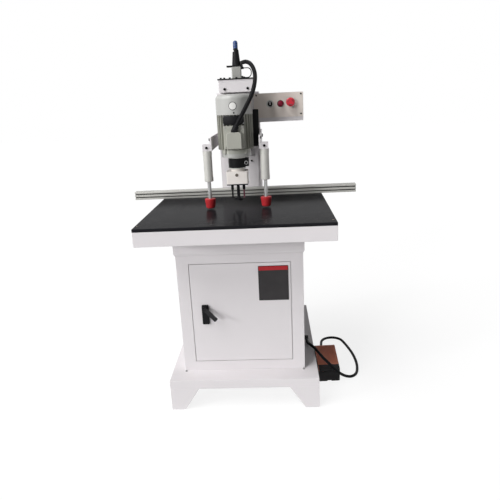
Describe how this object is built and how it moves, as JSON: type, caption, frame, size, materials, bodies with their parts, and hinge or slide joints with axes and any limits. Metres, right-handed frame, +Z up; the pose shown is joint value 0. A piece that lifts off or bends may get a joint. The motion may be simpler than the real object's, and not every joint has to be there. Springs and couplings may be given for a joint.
{
  "type": "hinge boring machine",
  "caption": "Floor-standing hinge boring machine: cabinet on a plinth, dark table with fence, motor-driven drill head on a column, hold-down clamps, switch box and foot pedal.",
  "frame": {"origin": "on the floor, in the middle of the overall footprint", "axes": "+X to the right of a person at the machine, +Y from the front of the table to the back, +Z up"},
  "size_m": [1.1251, 0.905, 1.5853],
  "materials": {
    "white_paint": "semi-gloss warm white paint",
    "dark_board": "dark grey laminate board",
    "aluminium": "natural anodised",
    "black_metal": "black oxide",
    "steel": "ground",
    "motor_grey": "grey enamel on cast aluminium",
    "motor_steel": "laminated steel core",
    "cover_grey": "light grey enamel on sheet steel",
    "panel_grey": "satin grey sheet",
    "black_plastic": "moulded black",
    "red_rubber": "red rubber",
    "red_plastic": "glossy red",
    "lamp_red": "dark red lens",
    "treadle_paint": "worn orange-red paint",
    "blue_plastic": "dark blue",
    "bit_red": "dark red coated steel",
    "hose_black": "black tube"
  },
  "bodies": {
    "frame": {"plinth_tray": "white_paint", "plinth_legs": "white_paint", "cabinet_shell": "white_paint", "rear_cover": "white_paint", "door_hinges": "steel", "table_tray": "white_paint", "table_board": "dark_board", "fence_rail": "aluminium", "column": "white_paint", "column_cover": "white_paint", "over_arm": "white_paint", "linear_rails": "steel", "top_beam": "white_paint", "feed_cylinder": "aluminium", "depth_stop": "black_metal", "clamp_arms": "white_paint", "clamp_cylinders": "aluminium", "control_box": "white_paint", "control_panel": "panel_grey", "switch_bodies": "black_plastic", "lamp_lens": "lamp_red", "pedal_base": "black_plastic", "pedal_hose": "hose_black", "motor_conduit": "hose_black", "hose_fittings": "black_plastic", "air_tube": "hose_black", "frame_screws": "black_metal"},
    "door_leaf": {"door": "white_paint", "lock_body": "black_plastic"},
    "lock_turn": {"lock_boss": "steel"},
    "lock_handle": {"lock_lever": "black_plastic"},
    "head": {"feed_rod": "steel", "carriage_plate": "black_metal", "guide_blocks": "steel", "motor_seat": "cover_grey", "motor_end_shields": "motor_grey", "motor_frame": "motor_grey", "motor_core": "motor_steel", "fan_cover": "cover_grey", "terminal_box": "motor_grey", "conduit_gland": "black_plastic", "clamp_collar": "black_metal", "gear_housing": "white_paint", "gear_plate": "black_metal", "spindle_bearings": "steel"},
    "spindle_main": {"motor_rotor": "motor_steel", "centre_spindle": "black_metal", "cup_bit": "black_metal"},
    "spindle_left": {"left_spindle": "black_metal", "left_dowel_bit": "bit_red"},
    "spindle_right": {"right_spindle": "black_metal", "right_dowel_bit": "bit_red"},
    "clamp_left": {"left_clamp_rod": "steel", "left_clamp_foot": "red_rubber"},
    "clamp_right": {"right_clamp_rod": "steel", "right_clamp_foot": "red_rubber"},
    "selector": {"selector_knob": "black_plastic"},
    "estop": {"estop_button": "red_plastic"},
    "stop_screw": {"depth_knob": "blue_plastic"},
    "pedal_plate": {"treadle": "treadle_paint"}
  },
  "joints": [
    {"name": "door_swing", "type": "hinge", "parent": "frame", "child": "door_leaf", "pos_m": [0.214, -0.268, 0.427], "axis": [0, 0, 1], "range_deg": [0, 95]},
    {"name": "lock_swivel", "type": "hinge", "parent": "door_leaf", "child": "lock_turn", "pos_m": [-0.1615, -0.2835, 0.456], "axis": [0, -1, 0], "range_deg": [-52, 38]},
    {"name": "lock_lift", "type": "hinge", "parent": "lock_turn", "child": "lock_handle", "pos_m": [-0.1615, -0.2925, 0.456], "axis": [-0.6157, 0, -0.788], "range_deg": [-24, 30]},
    {"name": "head_feed", "type": "slide", "parent": "frame", "child": "head", "axis": [0, 0, -1], "range_m": [0, 0.022], "deforming": ["motor_conduit"]},
    {"name": "spindle_spin", "type": "hinge", "parent": "head", "child": "spindle_main", "pos_m": [0, -0.0725, 1], "axis": [0, 0, 1], "continuous": true},
    {"name": "left_spin", "type": "hinge", "parent": "head", "child": "spindle_left", "pos_m": [-0.026, -0.078, 1], "axis": [0, 0, 1], "continuous": true},
    {"name": "right_spin", "type": "hinge", "parent": "head", "child": "spindle_right", "pos_m": [0.026, -0.078, 1], "axis": [0, 0, 1], "continuous": true},
    {"name": "left_clamp_stroke", "type": "slide", "parent": "frame", "child": "clamp_left", "axis": [0, 0, 1], "range_m": [0, 0.06]},
    {"name": "right_clamp_stroke", "type": "slide", "parent": "frame", "child": "clamp_right", "axis": [0, 0, 1], "range_m": [0, 0.06]},
    {"name": "selector_turn", "type": "hinge", "parent": "frame", "child": "selector", "pos_m": [0.156, 0.0985, 1.311], "axis": [0, 1, 0], "range_deg": [-45, 45]},
    {"name": "estop_push", "type": "slide", "parent": "frame", "child": "estop", "axis": [0, 1, 0], "range_m": [0, 0.005], "stiffness_N_per_m": 4000, "springref_m": -0.002},
    {"name": "depth_turn", "type": "hinge", "parent": "frame", "child": "stop_screw", "pos_m": [0.012, 0.0395, 1.56], "axis": [0, 0, 1], "continuous": true},
    {"name": "treadle_press", "type": "hinge", "parent": "frame", "child": "pedal_plate", "pos_m": [0.40106, -0.13452, 0.044], "axis": [-0.9986, -0.0523, 0], "range_deg": [0, 10], "stiffness_Nm_per_rad": 15, "springref_deg": -10.31}
  ],
  "couplings": [
    {"joint": "left_spin", "follows": "spindle_spin", "ratio": -1},
    {"joint": "right_spin", "follows": "spindle_spin", "ratio": -1}
  ]
}
